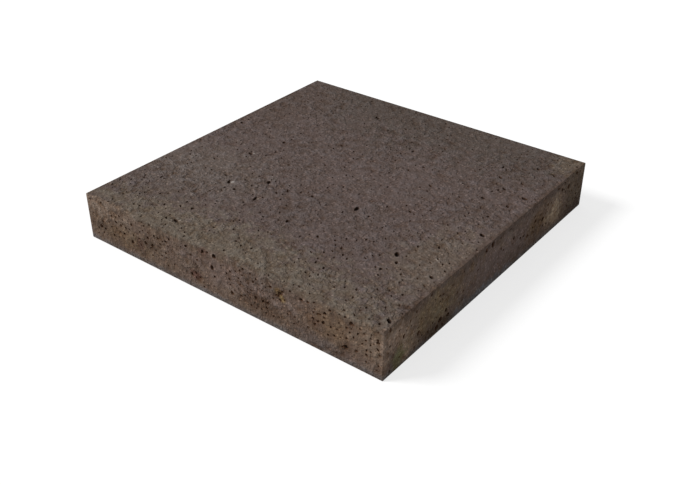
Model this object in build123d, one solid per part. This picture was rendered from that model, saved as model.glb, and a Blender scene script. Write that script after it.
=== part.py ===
from build123d import *
import os

# A square paving slab of dark vibrated concrete, cast in one piece.
# It lies flat, walking face up. The origin is the middle of its bedding face,
# with X and Y along its sides and Z up.

# Driving dimensions in millimetres
LENGTH = 500.0  # along X
WIDTH = 500.0  # along Y
THICKNESS = 70.0  # along Z
ARRIS_RADIUS = 1.0  # slight rounding that the mould leaves on every edge
WIDE_BLOWHOLE = 7.0  # mouth of an air bubble that stayed open on a cast face
SMALL_BLOWHOLE = 5.0  # mouth of a lesser bubble

# A bubble is an eight-sided pit with a chamfered floor, all flat facets, because there are many.
BUBBLE_SIDES = 8
BUBBLE_DEPTH = 0.45  # as a share of its mouth
BUBBLE_CHAMFER = 0.25  # as a share of its mouth
BUBBLE_TURN = 25  # degrees from one bubble to the next, so that their facets differ

# Places of the blowholes on each face: percent of its length from the left, and of
# its width or height from below, as seen from outside the slab.
TOP_WIDE = [
    (19.5, 45), (22.5, 56.5), (26.5, 28.5), (30, 5), (34, 88), (35.5, 35), (38.5, 26),
    (63.5, 38.5), (84.5, 27), (85, 77), (89, 72), (96, 70.5), (96.5, 47.5), (98.5, 4),
]
TOP_SMALL = [
    (3, 59), (9.5, 19), (13, 48), (21.5, 9), (25.5, 11), (27, 4.5), (29, 12), (30.5, 26.5),
    (33, 46.5), (35, 87.5), (37.5, 65.5), (41, 32), (42, 98.5), (42.5, 35), (50, 36.5),
    (53, 22.5), (54, 97.5), (56.5, 75.5), (64, 21.5), (64.5, 69), (72, 21), (72, 61),
    (74, 11.5), (74.5, 28), (75.5, 46), (82.5, 83), (85, 19.5), (86.5, 24), (87, 64),
    (91, 36), (91, 88), (91.5, 77.5), (94.5, 64), (96.5, 24), (96.5, 87),
]
FRONT_WIDE = [
    (5, 38), (17.5, 36), (23, 49), (25.5, 50), (44.5, 91), (47.5, 66), (48.5, 92), (54, 31),
    (70, 80), (89.5, 34), (91, 87),
]
FRONT_SMALL = [
    (1.5, 91), (6.5, 36), (11.5, 64), (14.5, 46), (18, 76), (24, 63), (28, 73), (31, 74),
    (38.5, 86), (40, 29), (41.5, 36), (52.5, 69), (57, 34), (62, 46), (65.5, 35), (66, 47),
    (67, 84), (69.5, 73.5), (70, 66), (76.5, 88), (78.5, 89), (80.5, 51), (81.5, 60),
    (83, 62), (83.5, 82), (85, 93), (92.5, 36), (98.5, 60), (98.5, 74),
]
RIGHT_WIDE = [(22, 14), (23.5, 24), (44, 89), (47, 92), (75, 49), (90, 76)]
RIGHT_SMALL = [
    (2.5, 94), (8, 57), (14, 37), (26, 34), (27, 20), (58.5, 64), (66.5, 41), (70.5, 60),
    (77.5, 74), (83, 92), (86, 81), (94.5, 93),
]


def turned(places):
    """The same places with the face turned upside down."""
    return [(100 - along, 100 - up) for along, up in places]


def bubble(mouth):
    """An air bubble that stands open. It reaches as far above the face as below it."""
    pit = extrude(RegularPolygon(mouth / 2, BUBBLE_SIDES), mouth * BUBBLE_DEPTH, both=True)
    floor = pit.faces().sort_by(Axis.Z)[0]
    return chamfer(floor.edges(), mouth * BUBBLE_CHAMFER)


def bubbles(face, length, height, wide, small):
    """The bubbles of one face, whose plane starts at its lower left corner."""
    made = []
    for mouth, places in ((WIDE_BLOWHOLE, wide), (SMALL_BLOWHOLE, small)):
        one = bubble(mouth)
        for count, (along, up) in enumerate(places):
            place = Pos(length * along / 100, height * up / 100) * Rot(Z=count * BUBBLE_TURN)
            made.append(face * place * one)
    return made


def cast_block():
    """The slab as the mould shapes it: a square block with a slight arris all round."""
    block = Box(LENGTH, WIDTH, THICKNESS, align=(Align.CENTER, Align.CENTER, Align.MIN))
    return fillet(block.edges(), ARRIS_RADIUS)


def blowholes():
    """All the open bubbles. The back and left sides repeat the front and right ones, turned."""
    x, y = LENGTH / 2, WIDTH / 2
    top = Plane((-x, -y, THICKNESS), x_dir=(1, 0, 0), z_dir=(0, 0, 1))
    front = Plane((-x, -y, 0), x_dir=(1, 0, 0), z_dir=(0, -1, 0))
    right = Plane((x, -y, 0), x_dir=(0, 1, 0), z_dir=(1, 0, 0))
    back = Plane((x, y, 0), x_dir=(-1, 0, 0), z_dir=(0, 1, 0))
    left = Plane((-x, y, 0), x_dir=(0, -1, 0), z_dir=(-1, 0, 0))
    return [
        *bubbles(top, LENGTH, WIDTH, TOP_WIDE, TOP_SMALL),
        *bubbles(front, LENGTH, THICKNESS, FRONT_WIDE, FRONT_SMALL),
        *bubbles(right, WIDTH, THICKNESS, RIGHT_WIDE, RIGHT_SMALL),
        *bubbles(back, LENGTH, THICKNESS, turned(FRONT_WIDE), turned(FRONT_SMALL)),
        *bubbles(left, WIDTH, THICKNESS, turned(RIGHT_WIDE), turned(RIGHT_SMALL)),
    ]


slab = cast_block() - blowholes()
os.makedirs("parts", exist_ok=True)
export_step(slab, "parts/slab.step")
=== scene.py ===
import math
import random

import bmesh
import bpy
from mathutils import Matrix, Vector, noise


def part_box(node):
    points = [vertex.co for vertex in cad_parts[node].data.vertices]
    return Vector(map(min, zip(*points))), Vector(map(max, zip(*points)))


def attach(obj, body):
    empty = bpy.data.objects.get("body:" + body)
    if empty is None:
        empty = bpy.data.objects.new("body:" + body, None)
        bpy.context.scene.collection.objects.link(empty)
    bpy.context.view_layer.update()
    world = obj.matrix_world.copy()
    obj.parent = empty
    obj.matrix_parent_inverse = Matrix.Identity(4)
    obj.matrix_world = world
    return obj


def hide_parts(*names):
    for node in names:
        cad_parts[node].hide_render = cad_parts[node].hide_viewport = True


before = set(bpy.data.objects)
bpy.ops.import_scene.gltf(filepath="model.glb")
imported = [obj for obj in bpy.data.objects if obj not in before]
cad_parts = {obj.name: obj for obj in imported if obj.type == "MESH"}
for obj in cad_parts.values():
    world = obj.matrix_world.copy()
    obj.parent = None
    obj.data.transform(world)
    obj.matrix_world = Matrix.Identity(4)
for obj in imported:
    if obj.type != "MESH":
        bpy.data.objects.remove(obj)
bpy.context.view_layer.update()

MM = 0.001  # metres in a millimetre

# The slab's box, from the frame
LOW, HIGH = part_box("slab")
SIZE = HIGH - LOW
MIDDLE = (LOW + HIGH) / 2

# The view of the photograph
CAMERA_AZIMUTH = 37.78  # degrees round from the front face
CAMERA_ELEVATION = 32.56  # degrees above the floor
CAMERA_DISTANCE = 1.3303  # m
CAMERA_DROP = 0.03225  # m, sets the slab a little above the middle of the picture
CAMERA_LENS = 48.34  # mm
SENSOR_WIDTH = 36.0  # mm

# A far, broad lamp lights the walking face and the front, and leaves the right side to the sky and the
# floor.
LAMP_DIRECTION = Vector((-0.58, -0.46, 0.67)).normalized()
LAMP_SPREAD = math.radians(22.6)
LAMP_STRENGTH = 3.15  # watts on a square metre
SKY_LIGHT = 0.42
PAPER_WHITE = 0.7  # what the floor throws back on the slab
PAPER_SHADE = 0.3  # the part of the floor's look that takes the slab's shadow
PAPER_GLOW = 0.72  # the part that stays white
FLOOR_WIDTH = 40  # m
FLOOR_GAP = 0.1 * MM  # keeps the floor just below the slab's underside

# The block as the mould shapes it
ARRIS = 1.0 * MM  # rounding of every edge, as in the frame
ARRIS_SEGMENTS = 4
CELL = 25 * MM  # the cast faces are divided into cells of this size, which keeps the facets short

# Voids of the cast faces. The frame's own blowholes are the widest, and finer pores lie between them.
BLOWHOLE_DEPTH = 0.45  # share of a blowhole's mouth, as in the frame
BLOWHOLE_FLOORS = (1 * MM, 5 * MM)  # how deep their floors lie in the frame
BLOWHOLE_MARGIN = 4 * MM  # none lies nearer to the edge of its face
LEVEL = 0.999  # least cosine between a face's direction and a level floor's
BLOWHOLE_SIZES = {  # their spread about the frame's two sizes
    "top": (0.9, 1.25),
    "front": (0.8, 1.1),
    "right": (1.0, 1.35),
    "back": (0.8, 1.1),
    "left": (1.0, 1.35),
    "bottom": (1.0, 1.0),
}
SEEN_MOUTHS = (3.4, 4.6)  # mm, of the pores listed below
PORE_MOUTHS = [(3.0, 4.2), (2.2, 3.0), (1.4, 2.2)]  # mm, of the scattered ones, from coarse to fine
DM2_PER_M2 = 100
PORES_PER_DM2 = {  # of each of those, on a square decimetre where they crowd
    "top": (13, 30, 30),
    "front": (55, 80, 60),
    "right": (36, 75, 55),
    "back": (55, 80, 60),
    "left": (36, 75, 55),
    "bottom": (2, 4, 8),
}
VOID_REACH = 0.75  # share of its mouth that a void takes up on each side, however it lies
BARE_FOOT = 9 * MM  # the lowest strip of each side, which has hardly any pores
BARE_FOOT_CHANCE = 0.1  # chance that a pore stays there
ROUND_PORE = 2.8 * MM  # mouth from which a void is deeper and has more facets
ROUND_DEPTHS = (0.9, 1.2)  # depth of such a void, as a share of its radius
FINE_DEPTHS = (0.5, 0.9)  # depth of a finer one
LIFTS = (0.0, 0.2)  # how far its middle lies out of the face, as a share of its radius
DENT_DEPTH = 0.35  # share of its radius by which a void's wall strays
DENT_SEED = 1  # makes the dents the same in every run
BATCH = 120  # voids that are cut together
SLIVER = 0.002 * MM  # what is thinner is cleared after the cutting
FLUSH = 0.001 * MM  # points this near to each other, or to a cast face, count as one with it
FLAT_ANGLE = math.radians(1)  # the frame's facets that differ by less are one flat
SHARP_ANGLE = math.radians(50)  # edges that turn by more look sharp

# Pores that the photograph shows one by one, in mm of the face: along from its left end, and up
SEEN_PORES = {
    "top": [
        (192, 450), (46, 435), (212, 401), (113, 322), (72, 287), (233, 276), (123, 251), (294, 454),
        (359, 489), (496, 480), (386, 471), (316, 412), (393, 405), (407, 398), (354, 388), (387, 380),
        (430, 366), (440, 352), (462, 360), (367, 365), (465, 282), (365, 290), (441, 265), (73, 223),
        (231, 181), (221, 150), (88, 154), (116, 154), (165, 154), (183, 137), (199, 139), (187, 114),
        (223, 107), (233, 102), (19, 65), (133, 31), (246, 37), (180, 12), (106, 5), (42, 4),
        (346, 222), (342, 187), (433, 166), (434, 139), (465, 145), (352, 126), (343, 114), (350, 106),
        (401, 115), (451, 103), (486, 100), (366, 83), (336, 75), (476, 70), (447, 61), (335, 45),
        (428, 46), (359, 37), (273, 36), (258, 33), (434, 31), (274, 24), (441, 6), (274, 381),
        (468, 157), (397, 105), (471, 108), (371, 94), (380, 90), (117, 38), (210, 70), (374, 42),
        (405, 34), (487, 10), (372, 10), (186, 5), (418, 97), (95, 230), (130, 147), (215, 172),
        (53, 95),
    ],
    "front": [
        (31, 66), (50, 52), (58, 53), (67, 43), (77, 43), (29, 36), (91, 37), (102, 36), (124, 30),
        (133, 52), (162, 58), (126, 66), (18, 22), (47, 34), (50, 22), (105, 27), (145, 26), (168, 22),
        (144, 44), (200, 50), (212, 47), (231, 66), (215, 21), (267, 41), (303, 40), (322, 32),
        (319, 19), (302, 17), (326, 16), (322, 58), (312, 60), (307, 54), (303, 64), (291, 66),
        (357, 49), (402, 66), (407, 52), (417, 51), (439, 66), (447, 66), (426, 42), (435, 43),
        (400, 43), (392, 26), (372, 31), (449, 52), (438, 54), (449, 37), (440, 34), (431, 32),
        (422, 29), (477, 27), (477, 17), (459, 43), (471, 40), (492, 55), (483, 34), (476, 47),
        (495, 35), (458, 60), (410, 53), (344, 51), (354, 60), (443, 22),
    ],
    "right": [
        (121, 52), (114, 54), (95, 66), (101, 22), (91, 15), (225, 66), (202, 43), (13, 6), (32, 15),
        (350, 50), (367, 37), (387, 31), (383, 40), (368, 45), (397, 50), (437, 64), (452, 30),
        (429, 29), (260, 45), (266, 40), (312, 35), (322, 34), (463, 41), (484, 63), (335, 27),
        (419, 63), (476, 63), (436, 54),
    ],
}
SEEN_PORES["back"] = SEEN_PORES["front"]
SEEN_PORES["left"] = SEEN_PORES["right"]
SEEN_PORES["bottom"] = []

# Where scattered pores crowd on the sides, in mm of the face: along, up, and how far that reaches each way
SIDE_CROWDS = {
    "front": [(80, 38, 75, 24), (300, 42, 45, 26), (445, 42, 65, 26)],
    "right": [(60, 45, 60, 22), (115, 18, 40, 14), (340, 42, 45, 18), (455, 45, 60, 32)],
}
SIDE_CROWDS["back"] = SIDE_CROWDS["front"]
SIDE_CROWDS["left"] = SIDE_CROWDS["right"]
CROWD_EDGE = 4  # how sharply a crowd ends
THIN_CHANCE = 0.28  # chance that a pore stays where they don't crowd

# On the walking face the voids are drawn out along one diagonal.
TOP_LEAN = 128  # degrees from the front edge
TOP_LEAN_SPREAD = 30  # degrees either way
TOP_STRETCH = (1.4, 2.1)  # a void's length over its width
SIDE_STRETCH = (1.0, 1.4)  # the same on the other faces


def face_matrix(corner, along, up):
    """From a face's own (along, up, out) to the slab. The corner is its lower left, seen from outside."""
    along = Vector(along)
    up = Vector(up)
    turn = Matrix((along, up, along.cross(up))).transposed().to_4x4()
    return Matrix.Translation(corner) @ turn


# Each cast face: its matrix, length and height
FACES = {
    "top": (face_matrix((LOW.x, LOW.y, HIGH.z), (1, 0, 0), (0, 1, 0)), SIZE.x, SIZE.y),
    "front": (face_matrix((LOW.x, LOW.y, LOW.z), (1, 0, 0), (0, 0, 1)), SIZE.x, SIZE.z),
    "right": (face_matrix((HIGH.x, LOW.y, LOW.z), (0, 1, 0), (0, 0, 1)), SIZE.y, SIZE.z),
    "back": (face_matrix((HIGH.x, HIGH.y, LOW.z), (-1, 0, 0), (0, 0, 1)), SIZE.x, SIZE.z),
    "left": (face_matrix((LOW.x, HIGH.y, LOW.z), (0, -1, 0), (0, 0, 1)), SIZE.y, SIZE.z),
    "bottom": (face_matrix((LOW.x, HIGH.y, LOW.z), (1, 0, 0), (0, -1, 0)), SIZE.x, SIZE.y),
}

# The sheet on which the faces lie for a bake, in mm: left, low, and the scale that they have there. The
# hidden underside is small.
SHEET_WIDTH = 660
SHEET = {
    "top": (5, 5, 1.0),
    "front": (5, 510, 1.0),
    "right": (510, 5, 1.0),
    "back": (5, 585, 1.0),
    "left": (585, 5, 1.0),
    "bottom": (510, 510, 0.29),
}
UPRIGHT_ON_SHEET = ("right", "left")  # these faces are turned on it by a quarter


def lay_out(bm, faces, name):
    """Lays facets on the sheet, as seen square to one cast face."""
    uv = bm.loops.layers.uv.get("OFBake") or bm.loops.layers.uv.new("OFBake")
    left, low, scale = SHEET[name]
    face, _, height = FACES[name]
    to_face = face.inverted()
    for facet in faces:
        for loop in facet.loops:
            along, up, _ = to_face @ loop.vert.co
            if name in UPRIGHT_ON_SHEET:
                along, up = height - up, along
            loop[uv].uv = ((left + along / MM * scale) / SHEET_WIDTH, (low + up / MM * scale) / SHEET_WIDTH)


def blowholes(frame_solid, name):
    """The frame's blowholes on one face, known by their flat floors: along, up and mouth of each, in mm."""
    face, length, height = FACES[name]
    to_face = face.inverted()
    found = []
    for floor in frame_solid.faces:
        along, up, out = to_face @ floor.calc_center_median()
        level = (to_face.to_3x3() @ floor.normal).z > LEVEL
        inside = min(along, length - along, up, height - up) > BLOWHOLE_MARGIN
        if level and inside and BLOWHOLE_FLOORS[0] < -out < BLOWHOLE_FLOORS[1]:
            found.append(tuple(round(size / MM, 1) for size in (along, up, -out / BLOWHOLE_DEPTH)))
    return sorted(found)


def crowding(name, along, up):
    """The chance that a scattered pore stays open at a place of a face."""
    if name not in SIDE_CROWDS:
        return 1.0
    chance = THIN_CHANCE
    for middle, level, reach_along, reach_up in SIDE_CROWDS[name]:
        away = math.hypot((along / MM - middle) / reach_along, (up / MM - level) / reach_up)
        chance = max(chance, math.exp(-away ** CROWD_EDGE))
    return chance if up > BARE_FOOT else chance * BARE_FOOT_CHANCE


def clear(voids, void):
    """Whether a void stays apart from all the others."""
    along, up, mouth = void
    for other_along, other_up, other_mouth in voids:
        if math.hypot(along - other_along, up - other_up) < VOID_REACH * (mouth + other_mouth):
            return False
    return True


def face_voids(frame_solid, name, rng):
    """The voids of one face, as along, up and mouth, in layers: those of one layer stay apart."""
    _, length, height = FACES[name]
    wanted = [
        (along, up, mouth * rng.uniform(*BLOWHOLE_SIZES[name]))
        for along, up, mouth in blowholes(frame_solid, name)
    ]
    wanted += [(along, up, rng.uniform(*SEEN_MOUTHS)) for along, up in SEEN_PORES[name]]
    layers = [[]]
    for along, up, mouth in wanted:
        void = (along * MM, up * MM, mouth * MM)
        free = [layer for layer in layers if clear(layer, void)]
        if free:
            free[0].append(void)
        else:
            layers.append([void])
    for mouths, density in zip(PORE_MOUTHS, PORES_PER_DM2[name]):
        for _ in range(round(density * length * height * DM2_PER_M2)):
            mouth = rng.uniform(*mouths) * MM
            along = rng.uniform(mouth, length - mouth)
            up = rng.uniform(mouth, height - mouth)
            void = (along, up, mouth)
            open_there = rng.random() < crowding(name, along, up)
            if open_there and all(clear(layer, void) for layer in layers):
                layers[0].append(void)
    return layers


def add_void(bm, name, void, rng):
    """An uneven ball that cuts one void out of a face."""
    face = FACES[name][0]
    along, up, mouth = void
    radius = mouth / 2
    if name == "top":
        stretch = math.sqrt(rng.uniform(*TOP_STRETCH))
        turn = math.radians(TOP_LEAN + rng.uniform(-TOP_LEAN_SPREAD, TOP_LEAN_SPREAD))
    else:
        stretch = math.sqrt(rng.uniform(*SIDE_STRETCH))
        turn = rng.uniform(0, math.pi)
    at = face @ Matrix.Translation((along, up, radius * rng.uniform(*LIFTS)))
    deep = rng.uniform(*(ROUND_DEPTHS if mouth > ROUND_PORE else FINE_DEPTHS))
    radii = Matrix.Diagonal((radius * stretch, radius / stretch, radius * deep, 1))
    ball = bmesh.ops.create_icosphere(
        bm,
        subdivisions=2 if mouth > ROUND_PORE else 1,
        radius=1.0,
        matrix=at @ Matrix.Rotation(turn, 4, "Z") @ radii,
    )
    for vertex in ball["verts"]:
        vertex.co += noise.noise_vector(vertex.co / radius) * radius * DENT_DEPTH


def mesh_object(name, bm):
    """An object with the mesh that was built."""
    mesh = bpy.data.meshes.new(name)
    bm.to_mesh(mesh)
    bm.free()
    made = bpy.data.objects.new(name, mesh)
    bpy.context.scene.collection.objects.link(made)
    return made


def cut_away(piece, cutter):
    """Takes the cutter's shape out of the piece, and removes the cutter."""
    boolean = piece.modifiers.new("voids", "BOOLEAN")
    boolean.operation = "DIFFERENCE"
    boolean.solver = "MANIFOLD"
    boolean.object = cutter
    depsgraph = bpy.context.evaluated_depsgraph_get()
    piece.data = bpy.data.meshes.new_from_object(piece.evaluated_get(depsgraph))
    piece.modifiers.clear()
    bpy.data.objects.remove(cutter)


def clear_slivers(mesh):
    """Takes out the edges and facets of no size that cutting leaves behind."""
    bm = bmesh.new()
    bm.from_mesh(mesh)
    bmesh.ops.triangulate(bm, faces=bm.faces, quad_method="BEAUTY", ngon_method="BEAUTY")
    bmesh.ops.dissolve_degenerate(bm, dist=SLIVER, edges=bm.edges)
    bm.to_mesh(mesh)
    bm.free()


def depths(point):
    """How deep a point lies below the faces across X, across Y and across Z."""
    from_middle = point - MIDDLE
    return [SIZE[axis] / 2 - abs(from_middle[axis]) for axis in range(3)]


def shade(mesh):
    """The cast faces are flat, and the arrises and voids are round with a sharp rim."""
    mesh.set_sharp_from_angle(angle=SHARP_ANGLE)
    for polygon in mesh.polygons:
        polygon.use_smooth = min(depths(polygon.center)) > FLUSH


def cast_block():
    """The plain block with its slight arris, and its faces divided into cells."""
    bm = bmesh.new()
    bmesh.ops.create_cube(bm, size=1.0, matrix=Matrix.Translation(MIDDLE) @ Matrix.Diagonal((*SIZE, 1)))
    bmesh.ops.bevel(
        bm,
        geom=bm.edges[:],
        affect="EDGES",
        offset=ARRIS,
        segments=ARRIS_SEGMENTS,
        profile=0.5,
        material=-1,
    )
    for axis in range(3):
        across = Vector((0, 0, 0))
        across[axis] = 1.0
        cells = round(SIZE[axis] / CELL)
        for cell in range(1, cells):
            bmesh.ops.bisect_plane(
                bm,
                geom=bm.verts[:] + bm.edges[:] + bm.faces[:],
                plane_co=LOW + across * SIZE[axis] * cell / cells,
                plane_no=across,
            )
    by_face = {name: [] for name in FACES}
    for facet in bm.faces:
        nearest = max(FACES, key=lambda name: facet.normal.dot(FACES[name][0].col[2].to_3d()))
        by_face[nearest].append(facet)
    for name, facets in by_face.items():
        lay_out(bm, facets, name)
    return bm


def cast_slab():
    """The slab: the block with the voids of its cast faces."""
    noise.seed_set(DENT_SEED)
    slab = mesh_object("cast_slab", cast_block())
    frame_solid = bmesh.new()
    frame_solid.from_mesh(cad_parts["slab"].data)
    bmesh.ops.remove_doubles(frame_solid, verts=frame_solid.verts, dist=FLUSH)
    bmesh.ops.dissolve_limit(
        frame_solid, angle_limit=FLAT_ANGLE, verts=frame_solid.verts, edges=frame_solid.edges
    )
    for name in FACES:
        rng = random.Random(name)
        for voids in face_voids(frame_solid, name, rng):
            for start in range(0, len(voids), BATCH):
                cutters = bmesh.new()
                for void in voids[start:start + BATCH]:
                    add_void(cutters, name, void, rng)
                lay_out(cutters, cutters.faces, name)
                cut_away(slab, mesh_object("voids", cutters))
    frame_solid.free()
    clear_slivers(slab.data)
    shade(slab.data)
    return slab


def linear(hex_colour):
    """The linear RGBA of an sRGB hex colour."""
    shares = [int(hex_colour[i:i + 2], 16) / 255 for i in (1, 3, 5)]
    return [c / 12.92 if c <= 0.04045 else ((c + 0.055) / 1.055) ** 2.4 for c in shares] + [1.0]


def node(tree, kind, inputs, out=0, **settings):
    """Adds a shader node and gives one of its outputs. An input is a plain value or a node's output."""
    made = tree.nodes.new("ShaderNode" + kind)
    for name, value in settings.items():
        setattr(made, name, value)
    for name, value in inputs.items():
        if isinstance(value, bpy.types.NodeSocket):
            tree.links.new(value, made.inputs[name])
        else:
            made.inputs[name].default_value = value
    return made.outputs[out]


# Tones of the concrete
MAUVE_TAUPE = "#574a46"
BROWN_TAUPE = "#534742"
SIDE_MAUVE = "#5b4b43"
SIDE_TAN = "#5d4c3c"
FOOT_GREY = "#574f4b"
# Painted shade in the voids: a brown on their walls, and a darker one at their floors
TOP_VOID_PAINTED_SHADE = "#402c1e"
SIDE_VOID_PAINTED_SHADE = "#4c3220"
TOP_FLOOR_PAINTED_SHADE = "#1b110b"
SIDE_FLOOR_PAINTED_SHADE = "#291a10"
MOTTLE_BROWN = "#41322a"
TOP_MOTTLE, SIDE_MOTTLE = 0.12, 0.55  # how strong the mottling is on the walking face and on the sides

# The concrete's patterns: their sizes, and the two values between which one tone gives way to another
WANDER = 14 * MM  # bends of the edges that wander
DRIFT = 55 * MM  # drifts of the pigment
DRIFT_FROM, DRIFT_TO = 0.3, 0.7
MOTTLE = 17 * MM  # brown mottling
MOTTLE_FROM, MOTTLE_TO = 0.48, 0.72
PATCH = 45 * MM  # rough and smooth patches of the cement skin
PATCH_FROM, PATCH_TO = 0.3, 0.7
SMOOTH, ROUGH = 0.6, 1.4  # how uneven the skin is in them
RAGGED = 10 * MM  # how far the line between the walking face and the sides wanders
SIDE_FROM, SIDE_TO = 3 * MM, 9 * MM  # from the walking face's tones to those of the sides
FOOT_FROM, FOOT_TO = 10 * MM, 4 * MM  # height of the grey foot of the sides
MARK_DEPTH = 8 * MM  # how far each mark listed below reaches into the slab
MARK_RAGGED = 2.0  # how far its edge wanders, as a share of its reach
MARK_FROM, MARK_TO = 2.2, 1.3  # from its rim to its core, with that wandering
VOID_SHADE_FROM, VOID_SHADE_TO = 0.1 * MM, 1.1 * MM  # depth at which a void's wall takes its painted brown shade
FLOOR_SHADE_FROM, FLOOR_SHADE_TO = 1.1 * MM, 2.6 * MM  # depth at which it takes the darker painted shade of its floor
SAND_GRAIN = 3.8 * MM
GRAIN_FROM, GRAIN_TO = 0.5, 0.25  # from a grain's rim to its core, as shares of its size
DULL_GRAINS = 0.3  # share of the grains that stay dull, while the others are paler by chance
DULL, BRIGHT = -0.2, 0.8  # how much paler than the cement a grain is, at least and at most
# The cement skin's unevenness from coarse to fine: size, detail, roughness, weight
UNEVENNESS = [(24 * MM, 2, 0.5, 0.8), (12 * MM, 3, 0.75, 2.1), (4.5 * MM, 2, 0.5, 1.3)]
RELIEF = 2.45 * MM  # how far the skin would rise for a weight of 1
PALER_PROUD_SHADED_HOLLOWS = (0.42, 0.6, 0.78)  # how much paler it is there, in red, green and blue: the hollows are darker and browner, partly painted shade

# Marks on the cast faces: weathering, a band of painted light along the walking face's front edge and one
# of painted shade along its back, and a darker patch at the foot of the right side's far end: face, along,
# up, reach along, reach up (mm), tone
STAINS_AND_PAINTED_LIGHT = [
    # Painted light: the walking face lighter along its front edge
    ("top", 250, 0, 360, 85, "#5f5449"),
    ("top", 70, 150, 130, 90, "#5b504a"),
    # Painted shade: the walking face darker towards its back edge
    ("top", 250, 520, 420, 170, "#4c423c"),
    ("top", 470, 150, 60, 110, "#5c5047"),
    ("top", 485, 490, 30, 50, "#5a4e43"),
    ("top", 20, 390, 80, 130, "#51443e"),
    ("front", 38, 56, 60, 30, "#6d5c4f"),
    ("front", 75, 26, 80, 22, "#5a4838"),
    ("front", 285, 45, 110, 34, "#605048"),
    ("front", 345, 58, 36, 18, "#56483f"),
    ("front", 425, 42, 40, 30, "#614e3d"),
    ("front", 485, 46, 40, 26, "#645447"),
    ("front", 320, 20, 60, 16, "#534236"),
    ("front", 405, 10, 45, 14, "#50433c"),
    ("front", 25, 27, 14, 8, "#4d3e32"),
    ("front", 104, 29, 8, 11, "#503c31"),
    ("front", 123, 35, 18, 9, "#4c3d31"),
    ("front", 207, 22, 12, 9, "#543c33"),
    ("front", 222, 63, 14, 8, "#503d33"),
    ("front", 305, 57, 14, 10, "#53443b"),
    ("front", 318, 28, 22, 12, "#4f3d30"),
    ("front", 346, 55, 10, 9, "#4f3c26"),
    ("front", 405, 38, 14, 10, "#523f32"),
    ("front", 446, 24, 14, 8, "#4e3d30"),
    ("right", 260, 68, 300, 14, "#4d3f37"),
    ("right", 20, 44, 50, 28, "#786659"),
    ("right", 46, 22, 26, 22, "#7d6a59"),
    ("right", 28, 17, 16, 16, "#625c40"),
    ("right", 115, 36, 62, 30, "#655541"),
    ("right", 245, 32, 100, 36, "#5d4e48"),
    ("right", 215, 3, 100, 12, "#5f5c5d"),
    ("right", 112, 10, 34, 12, "#3f3124"),
    ("right", 360, 32, 32, 22, "#5a4632"),
    ("right", 412, 32, 30, 22, "#84725f"),
    ("right", 475, 30, 45, 60, "#4f4133"),
    # Darker at the foot of the right side's far end
    ("right", 475, 5, 45, 14, "#3f3128"),
]
# Small pale spots beside voids: face, along, up, reach along, reach up (mm), tone
STAINS_AND_PAINTED_LIGHT += [
    ("top", 136.5, 145.5, 2, 3, "#8f867e"),
    ("top", 154, 28, 2, 3, "#958c84"),
    ("top", 196, 132.5, 1.8, 2.4, "#8a8179"),
    ("top", 101.5, 228, 1.8, 2.4, "#8a8179"),
    ("top", 468, 157, 2, 3, "#958c84"),
    ("front", 353, 50, 6, 7, "#7c6644"),
]


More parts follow.
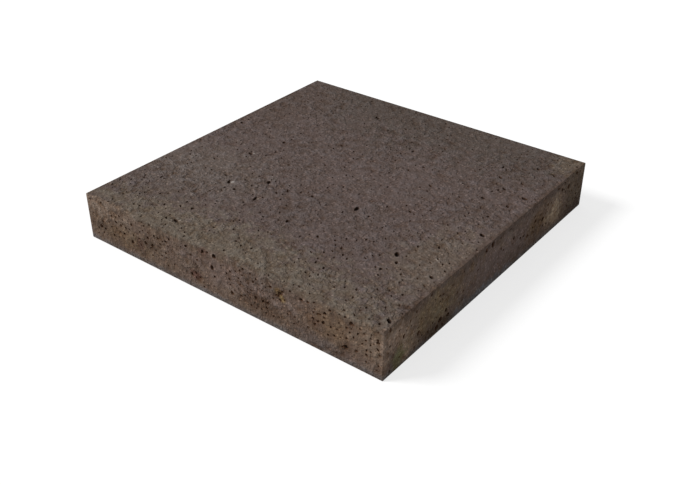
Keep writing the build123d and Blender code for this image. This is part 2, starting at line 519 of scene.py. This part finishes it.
def vibrated_concrete():
    """Dark pigmented concrete, vibrated in a mould: matt and gritty, with painted shade in its voids, brown
    on their walls and dark at their floors.
    """
    material = bpy.data.materials.new("vibrated_concrete")
    material.use_nodes = True
    tree = material.node_tree
    place = node(tree, "TexCoord", {}, "Object")

    # How deep a point lies below the nearest cast face, and whether that face is a side
    away = node(tree, "VectorMath", {0: place, 1: MIDDLE}, operation="SUBTRACT")
    away = node(tree, "VectorMath", {0: away}, operation="ABSOLUTE")
    below = node(tree, "VectorMath", {0: SIZE / 2, 1: away}, operation="SUBTRACT")
    below_x = node(tree, "SeparateXYZ", {0: below}, "X")
    below_y = node(tree, "SeparateXYZ", {0: below}, "Y")
    below_z = node(tree, "SeparateXYZ", {0: below}, "Z")
    below_side = node(tree, "Math", {0: below_x, 1: below_y}, operation="MINIMUM")
    depth = node(tree, "Math", {0: below_side, 1: below_z}, operation="MINIMUM")
    nearer = node(tree, "Math", {0: below_z, 1: below_side}, operation="SUBTRACT")
    wander = node(tree, "TexNoise", {"Vector": place, "Scale": 1 / WANDER, "Detail": 4.0})
    ragged = node(tree, "Math", {0: wander, 1: RAGGED, 2: nearer}, operation="MULTIPLY_ADD")
    on_side = node(tree, "MapRange", {"Value": ragged, "From Min": SIDE_FROM, "From Max": SIDE_TO})

    # Slow drifts of the pigment
    drift = node(tree, "TexNoise", {"Vector": place, "Scale": 1 / DRIFT, "Detail": 3.0})
    drift = node(tree, "MapRange", {"Value": drift, "From Min": DRIFT_FROM, "From Max": DRIFT_TO})
    top = node(tree, "Mix", {0: drift, 6: linear(MAUVE_TAUPE), 7: linear(BROWN_TAUPE)}, 2, data_type="RGBA")
    side = node(tree, "Mix", {0: drift, 6: linear(SIDE_MAUVE), 7: linear(SIDE_TAN)}, 2, data_type="RGBA")
    height = node(tree, "SeparateXYZ", {0: place}, "Z")
    foot = node(
        tree, "MapRange", {"Value": height, "From Min": LOW.z + FOOT_FROM, "From Max": LOW.z + FOOT_TO}
    )
    side = node(tree, "Mix", {0: foot, 6: side, 7: linear(FOOT_GREY)}, 2, data_type="RGBA")
    tone = node(tree, "Mix", {0: on_side, 6: top, 7: side}, 2, data_type="RGBA")

    # Stains and bands of painted light and shade, with edges that wander
    for name, along, up, reach_along, reach_up, colour in STAINS_AND_PAINTED_LIGHT:
        face = FACES[name][0]
        middle = face @ Vector((along * MM, up * MM, 0))
        reach = face.to_3x3() @ Vector((reach_along * MM, reach_up * MM, MARK_DEPTH))
        spot = node(
            tree,
            "Mapping",
            {"Vector": place, "Location": middle, "Scale": [abs(size) for size in reach]},
            vector_type="TEXTURE",
        )
        far = node(tree, "VectorMath", {0: spot}, "Value", operation="LENGTH")
        far = node(tree, "Math", {0: wander, 1: MARK_RAGGED, 2: far}, operation="MULTIPLY_ADD")
        cover = node(
            tree,
            "MapRange",
            {"Value": far, "From Min": MARK_FROM, "From Max": MARK_TO},
            interpolation_type="SMOOTHSTEP",
        )
        tone = node(tree, "Mix", {0: cover, 6: tone, 7: linear(colour)}, 2, data_type="RGBA")

    # Brown mottling, mostly on the sides
    mottle = node(tree, "TexNoise", {"Vector": place, "Scale": 1 / MOTTLE, "Detail": 3.0})
    mottle = node(tree, "MapRange", {"Value": mottle, "From Min": MOTTLE_FROM, "From Max": MOTTLE_TO})
    strength = node(tree, "MapRange", {"Value": on_side, "To Min": TOP_MOTTLE, "To Max": SIDE_MOTTLE})
    mottle = node(tree, "Math", {0: mottle, 1: strength}, operation="MULTIPLY")
    tone = node(tree, "Mix", {0: mottle, 6: tone, 7: linear(MOTTLE_BROWN)}, 2, data_type="RGBA")

    # The cement skin is rough in some patches and smooth in others. It is paler where it stands proud and
    # darker in its hollows, which is partly painted shade.
    patch = node(tree, "TexNoise", {"Vector": place, "Scale": 1 / PATCH, "Detail": 2.0})
    rough = node(
        tree,
        "MapRange",
        {"Value": patch, "From Min": PATCH_FROM, "From Max": PATCH_TO, "To Min": SMOOTH, "To Max": ROUGH},
    )
    rise = -sum(weight / 2 for _, _, _, weight in UNEVENNESS)
    for size, detail, roughness, weight in UNEVENNESS:
        bumps = node(
            tree, "TexNoise", {"Vector": place, "Scale": 1 / size, "Detail": detail, "Roughness": roughness}
        )
        rise = node(tree, "Math", {0: bumps, 1: weight, 2: rise}, operation="MULTIPLY_ADD")
    rise = node(tree, "Math", {0: rise, 1: rough}, operation="MULTIPLY")
    relief = node(tree, "Bump", {"Height": rise, "Distance": RELIEF})

    # Sand grains lie open in it, some paler than the rest.
    from_grain = node(tree, "TexVoronoi", {"Vector": place, "Scale": 1 / SAND_GRAIN}, "Distance")
    chance = node(tree, "TexVoronoi", {"Vector": place, "Scale": 1 / SAND_GRAIN}, "Color")
    chance = node(tree, "SeparateColor", {0: chance})
    grain = node(tree, "MapRange", {"Value": from_grain, "From Min": GRAIN_FROM, "From Max": GRAIN_TO})
    pale = node(
        tree, "MapRange", {"Value": chance, "From Min": DULL_GRAINS, "To Min": DULL, "To Max": BRIGHT}
    )
    speckle = node(tree, "Math", {0: grain, 1: pale, 2: 1.0}, operation="MULTIPLY_ADD")
    # Partly painted shade: the skin's hollows are darker and browner, its proud parts paler.
    speckle = node(tree, "VectorMath", {0: rise, 1: PALER_PROUD_SHADED_HOLLOWS, 2: speckle}, operation="MULTIPLY_ADD")
    tone = node(tree, "VectorMath", {0: tone, 1: speckle}, operation="MULTIPLY")

    # Painted shade: voids turn a darker brown below the face, and darker still towards their floors.
    void = node(tree, "Mix", {0: on_side, 6: linear(TOP_VOID_PAINTED_SHADE), 7: linear(SIDE_VOID_PAINTED_SHADE)}, 2, data_type="RGBA")
    in_void_shade = node(tree, "MapRange", {"Value": depth, "From Min": VOID_SHADE_FROM, "From Max": VOID_SHADE_TO})
    tone = node(tree, "Mix", {0: in_void_shade, 6: tone, 7: void}, 2, data_type="RGBA")
    floor = node(
        tree,
        "Mix",
        {0: on_side, 6: linear(TOP_FLOOR_PAINTED_SHADE), 7: linear(SIDE_FLOOR_PAINTED_SHADE)},
        2,
        data_type="RGBA",
    )
    in_floor_shade = node(tree, "MapRange", {"Value": depth, "From Min": FLOOR_SHADE_FROM, "From Max": FLOOR_SHADE_TO})
    tone = node(tree, "Mix", {0: in_floor_shade, 6: tone, 7: floor}, 2, data_type="RGBA")

    shader = tree.nodes["Principled BSDF"]
    tree.links.new(tone, shader.inputs["Base Color"])
    tree.links.new(relief, shader.inputs["Normal"])
    shader.inputs["Roughness"].default_value = 0.9
    shader.inputs["IOR"].default_value = 1.5
    shader.inputs["Specular IOR Level"].default_value = 0.2
    return material


def white_paper():
    """The floor's matt paper: white to the eye but for the slab's shadow, and a plain grey to the light."""
    material = bpy.data.materials.new("white_paper")
    material.use_nodes = True
    tree = material.node_tree
    tree.nodes.remove(tree.nodes["Principled BSDF"])
    seen = node(tree, "LightPath", {}, "Is Camera Ray")
    mirrored = node(tree, "LightPath", {}, "Is Glossy Ray")
    through = node(tree, "LightPath", {}, "Is Transmission Ray")
    seen = node(tree, "Math", {0: seen, 1: mirrored}, operation="MAXIMUM")
    seen = node(tree, "Math", {0: seen, 1: through}, operation="MAXIMUM")
    lit = node(tree, "BsdfDiffuse", {"Color": (PAPER_WHITE, PAPER_WHITE, PAPER_WHITE, 1)})
    shadow = node(tree, "BsdfDiffuse", {"Color": (PAPER_SHADE, PAPER_SHADE, PAPER_SHADE, 1)})
    glow = node(tree, "Emission", {"Strength": PAPER_GLOW})
    shown = node(tree, "AddShader", {0: shadow, 1: glow})
    paper = node(tree, "MixShader", {0: seen, 1: lit, 2: shown})
    tree.links.new(paper, tree.nodes["Material Output"].inputs["Surface"])
    return material


def studio():
    """A white floor and sky, and one soft lamp."""
    bpy.ops.mesh.primitive_plane_add(size=FLOOR_WIDTH, location=(0, 0, LOW.z - FLOOR_GAP))
    floor = bpy.context.object
    floor.name = "floor"
    floor.data.materials.append(white_paper())

    world = bpy.data.worlds.new("white_sky")
    bpy.context.scene.world = world
    world.use_nodes = True
    seen = node(world.node_tree, "LightPath", {}, "Is Camera Ray")
    strength = node(world.node_tree, "MapRange", {"Value": seen, "To Min": SKY_LIGHT, "To Max": 1.0})
    background = world.node_tree.nodes["Background"]
    background.inputs["Color"].default_value = (1, 1, 1, 1)
    world.node_tree.links.new(strength, background.inputs["Strength"])

    light = bpy.data.lights.new("soft_lamp", "SUN")
    light.angle = LAMP_SPREAD
    light.energy = LAMP_STRENGTH
    lamp = bpy.data.objects.new("soft_lamp", light)
    lamp.rotation_euler = (-LAMP_DIRECTION).to_track_quat("-Z", "Y").to_euler()
    bpy.context.scene.collection.objects.link(lamp)


def photograph_camera():
    """A camera with the photograph's view."""
    azimuth = math.radians(CAMERA_AZIMUTH)
    elevation = math.radians(CAMERA_ELEVATION)
    level = math.cos(elevation)
    back = Vector((math.sin(azimuth) * level, -math.cos(azimuth) * level, math.sin(elevation)))
    right = Vector((math.cos(azimuth), math.sin(azimuth), 0))
    lens = bpy.data.cameras.new("camera")
    lens.lens = CAMERA_LENS
    lens.sensor_width = SENSOR_WIDTH
    camera = bpy.data.objects.new("camera", lens)
    camera.location = CAMERA_DISTANCE * back - CAMERA_DROP * back.cross(right)
    camera.rotation_euler = (-back).to_track_quat("-Z", "Y").to_euler()
    bpy.context.scene.collection.objects.link(camera)
    bpy.context.scene.camera = camera


slab = cast_slab()
slab.data.materials.clear()
slab.data.materials.append(vibrated_concrete())
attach(slab, "root")
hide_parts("slab")
studio()
photograph_camera()
bpy.context.scene.view_settings.view_transform = "Standard"
